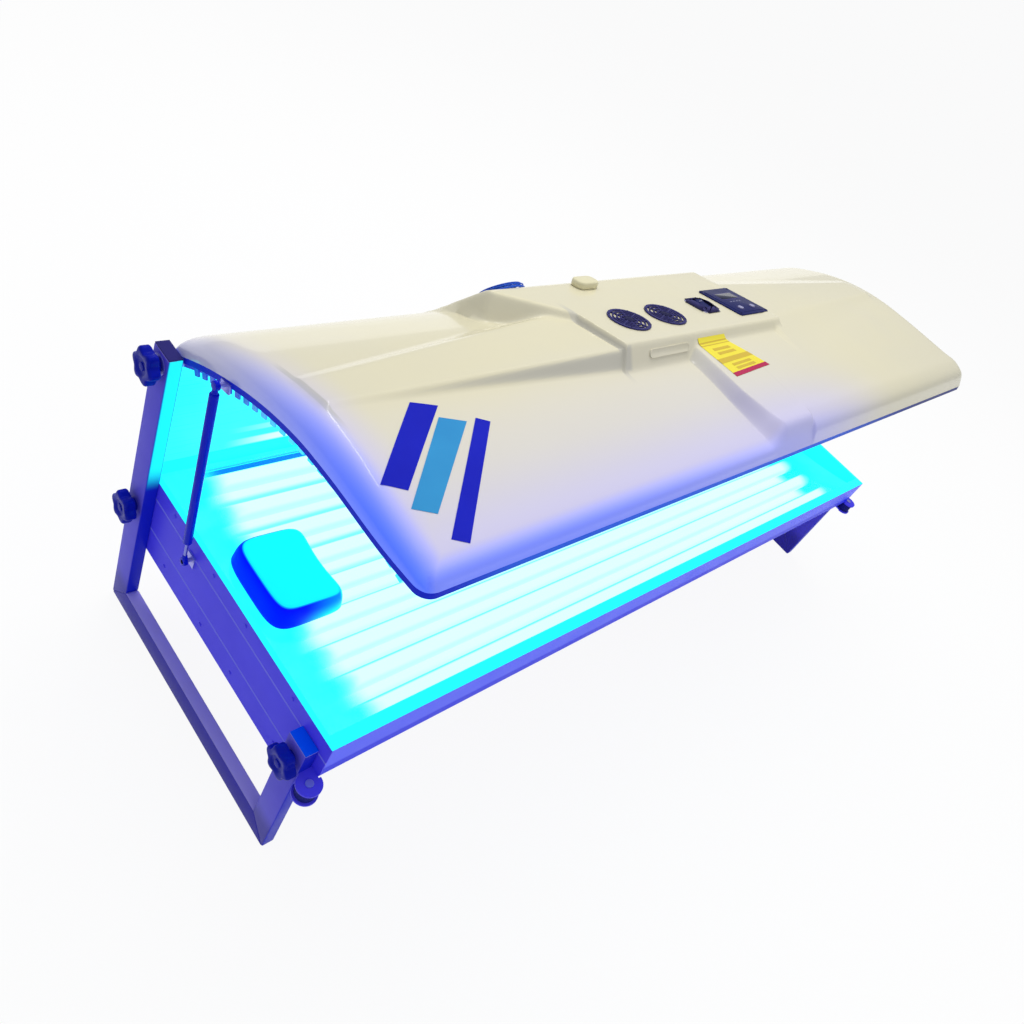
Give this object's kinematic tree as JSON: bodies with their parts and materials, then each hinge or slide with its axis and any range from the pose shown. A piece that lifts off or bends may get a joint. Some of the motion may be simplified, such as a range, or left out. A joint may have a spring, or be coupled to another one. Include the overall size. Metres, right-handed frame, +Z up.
{
  "type": "tanning bed",
  "caption": "Clamshell tanning bed: a lamp bed with a shallow clear dish on two tube end frames, and a hinged lamp canopy on gas struts with cooling fans, timer and switch.",
  "frame": {"origin": "on the floor, at the middle of the whole object's length and depth", "axes": "+X from the head end to the foot end, +Y from the open front to the hinged rear, +Z up"},
  "size_m": [1.9896, 0.6694, 0.8177],
  "materials": {
    "frame_paint": "powder coat, satin periwinkle",
    "panel_paint": "powder coat, satin lavender blue",
    "dark_plastic": "moulded, fine texture",
    "knob_plastic": "moulded, polished",
    "zinc_steel": "zinc plated",
    "strut_paint": "gloss enamel",
    "strut_chrome": "ground and plated",
    "wheel_rubber": "satin",
    "canopy_plastic": "vacuum-formed, cream, smooth gloss",
    "trim_plastic": "extruded, satin navy",
    "comb_plastic": "cut sheet",
    "bed_glass": "clear acrylic lit from below",
    "canopy_glass": "clear acrylic",
    "bright_sheet": "bright rolled reflector sheet",
    "lamp_tube": "phosphor-coated tube with metal caps",
    "holder_plastic": "moulded, white",
    "ballast_steel": "stamped steel case",
    "fan_plastic": "glass-filled, dark blue",
    "panel_plastic": "textured, dark blue",
    "guard_plastic": "moulded, blue",
    "button_plastic": "moulded, light grey",
    "cream_plastic": "moulded, cream",
    "headrest_plastic": "moulded, satin blue"
  },
  "bodies": {
    "base": {"head_rear_post": "frame_paint", "foot_rear_post": "frame_paint", "head_front_post": "frame_paint", "foot_front_post": "frame_paint", "head_floor_rail": "frame_paint", "foot_floor_rail": "frame_paint", "post_end_plugs": "dark_plastic", "bed_front_rail": "panel_paint", "bed_rear_rail": "panel_paint", "bed_head_panel": "panel_paint", "bed_foot_panel": "panel_paint", "bed_belly_tray": "panel_paint", "bed_reflector": "bright_sheet", "bed_acrylic": "bed_glass", "bed_lampholders": "holder_plastic", "bed_lamps": "lamp_tube", "bed_ballasts": "ballast_steel", "mains_inlet": "dark_plastic", "rear_reflector_panel": "bright_sheet", "pivot_hardware": "zinc_steel", "bed_clamp_studs": "zinc_steel", "wheel_forks": "panel_paint", "wheel_axles": "zinc_steel", "strut_low_brackets": "zinc_steel"},
    "canopy": {"canopy_shell": "canopy_plastic", "canopy_edge_trim": "trim_plastic", "canopy_comb_plates": "comb_plastic", "canopy_reflector": "bright_sheet", "canopy_acrylic": "canopy_glass", "canopy_lamps": "lamp_tube", "canopy_lampholders": "holder_plastic", "canopy_ballasts": "ballast_steel", "canopy_pivot_brackets": "zinc_steel", "strut_high_brackets": "zinc_steel", "fan_grilles": "fan_plastic", "fan_frames": "fan_plastic", "rear_fan_frame": "fan_plastic", "rear_fan_guard": "guard_plastic", "cable_cover": "cream_plastic", "timer_panel": "panel_plastic", "switch_bezel": "panel_plastic"},
    "head_canopy_knob": {"head_canopy_knob": "knob_plastic"},
    "head_rear_bed_knob": {"head_rear_bed_knob": "knob_plastic"},
    "head_front_bed_knob": {"head_front_bed_knob": "knob_plastic"},
    "head_wheel": {"head_wheel": "wheel_rubber"},
    "head_strut_rod": {"head_strut_rod": "strut_chrome"},
    "head_strut_cylinder": {"head_strut_cylinder": "strut_paint"},
    "foot_canopy_knob": {"foot_canopy_knob": "knob_plastic"},
    "foot_rear_bed_knob": {"foot_rear_bed_knob": "knob_plastic"},
    "foot_front_bed_knob": {"foot_front_bed_knob": "knob_plastic"},
    "foot_wheel": {"foot_wheel": "wheel_rubber"},
    "foot_strut_rod": {"foot_strut_rod": "strut_chrome"},
    "foot_strut_cylinder": {"foot_strut_cylinder": "strut_paint"},
    "head_fan_impeller": {"head_fan_impeller": "fan_plastic"},
    "foot_fan_impeller": {"foot_fan_impeller": "fan_plastic"},
    "rear_fan_impeller": {"rear_fan_impeller": "fan_plastic"},
    "power_rocker": {"power_rocker": "panel_plastic"},
    "timer_start_button": {"timer_start_button": "button_plastic"},
    "timer_set_button": {"timer_set_button": "button_plastic"},
    "headrest": {"headrest": "headrest_plastic"}
  },
  "joints": [
    {"name": "canopy_hinge", "type": "hinge", "parent": "base", "child": "canopy", "pos_m": [0, 0.28925, 0.608], "axis": [-1, 0, 0], "range_deg": [-12.5, 47.5]},
    {"name": "head_canopy_knob_turn", "type": "hinge", "parent": "base", "child": "head_canopy_knob", "pos_m": [-0.98, 0.28925, 0.608], "axis": [-1, 0, 0], "continuous": true},
    {"name": "head_rear_bed_knob_turn", "type": "hinge", "parent": "base", "child": "head_rear_bed_knob", "pos_m": [-0.98, 0.28925, 0.285], "axis": [-1, 0, 0], "continuous": true},
    {"name": "head_front_bed_knob_turn", "type": "hinge", "parent": "base", "child": "head_front_bed_knob", "pos_m": [-0.98, -0.26475, 0.285], "axis": [-1, 0, 0], "continuous": true},
    {"name": "head_wheel_spin", "type": "hinge", "parent": "base", "child": "head_wheel", "pos_m": [-0.958, -0.31275, 0.255], "axis": [0, 0, 1], "continuous": true},
    {"name": "head_strut_swing", "type": "hinge", "parent": "base", "child": "head_strut_rod", "pos_m": [-0.954, 0.12725, 0.305], "axis": [-1, 0, 0], "range_deg": [-2.9, 10.8]},
    {"name": "head_strut_extension", "type": "slide", "parent": "head_strut_rod", "child": "head_strut_cylinder", "axis": [0, 0.0675, 0.9977], "range_m": [-0.0265, 0.1]},
    {"name": "foot_canopy_knob_turn", "type": "hinge", "parent": "base", "child": "foot_canopy_knob", "pos_m": [0.98, 0.28925, 0.608], "axis": [1, 0, 0], "continuous": true},
    {"name": "foot_rear_bed_knob_turn", "type": "hinge", "parent": "base", "child": "foot_rear_bed_knob", "pos_m": [0.98, 0.28925, 0.285], "axis": [1, 0, 0], "continuous": true},
    {"name": "foot_front_bed_knob_turn", "type": "hinge", "parent": "base", "child": "foot_front_bed_knob", "pos_m": [0.98, -0.26475, 0.285], "axis": [1, 0, 0], "continuous": true},
    {"name": "foot_wheel_spin", "type": "hinge", "parent": "base", "child": "foot_wheel", "pos_m": [0.958, -0.31275, 0.255], "axis": [0, 0, 1], "continuous": true},
    {"name": "foot_strut_swing", "type": "hinge", "parent": "base", "child": "foot_strut_rod", "pos_m": [0.954, 0.12725, 0.305], "axis": [-1, 0, 0], "range_deg": [-2.9, 10.8]},
    {"name": "foot_strut_extension", "type": "slide", "parent": "foot_strut_rod", "child": "foot_strut_cylinder", "axis": [0, 0.0675, 0.9977], "range_m": [-0.0265, 0.1]},
    {"name": "head_fan_spin", "type": "hinge", "parent": "canopy", "child": "head_fan_impeller", "pos_m": [-0.181, 0.0372, 0.7786], "axis": [0, 0.2164, 0.9763], "continuous": true},
    {"name": "foot_fan_spin", "type": "hinge", "parent": "canopy", "child": "foot_fan_impeller", "pos_m": [-0.061, 0.0372, 0.7786], "axis": [0, 0.2164, 0.9763], "continuous": true},
    {"name": "rear_fan_spin", "type": "hinge", "parent": "canopy", "child": "rear_fan_impeller", "pos_m": [-0.318, 0.24055, 0.72322], "axis": [0, 0.8078, 0.5894], "continuous": true},
    {"name": "power_rocker_tip", "type": "hinge", "parent": "canopy", "child": "power_rocker", "pos_m": [0.097, 0.05812, 0.79905], "axis": [1, 0, 0], "range_deg": [-16, 0]},
    {"name": "timer_start_button_press", "type": "slide", "parent": "canopy", "child": "timer_start_button", "axis": [0, -0.2164, -0.9763], "range_m": [0, 0.0015], "stiffness_N_per_m": 400, "springref_m": -0.0008},
    {"name": "timer_set_button_press", "type": "slide", "parent": "canopy", "child": "timer_set_button", "axis": [0, -0.2164, -0.9763], "range_m": [0, 0.0015], "stiffness_N_per_m": 400, "springref_m": -0.0008},
    {"name": "headrest_lift", "type": "slide", "parent": "base", "child": "headrest", "axis": [0, 0, 1], "range_m": [0, 0.08]}
  ],
  "couplings": [
    {"joint": "head_strut_swing", "follows": "canopy_hinge", "ratio": 0.225},
    {"joint": "head_strut_extension", "follows": "canopy_hinge", "m_per_rad": 0.12032},
    {"joint": "foot_strut_swing", "follows": "canopy_hinge", "ratio": 0.225},
    {"joint": "foot_strut_extension", "follows": "canopy_hinge", "m_per_rad": 0.12032}
  ]
}
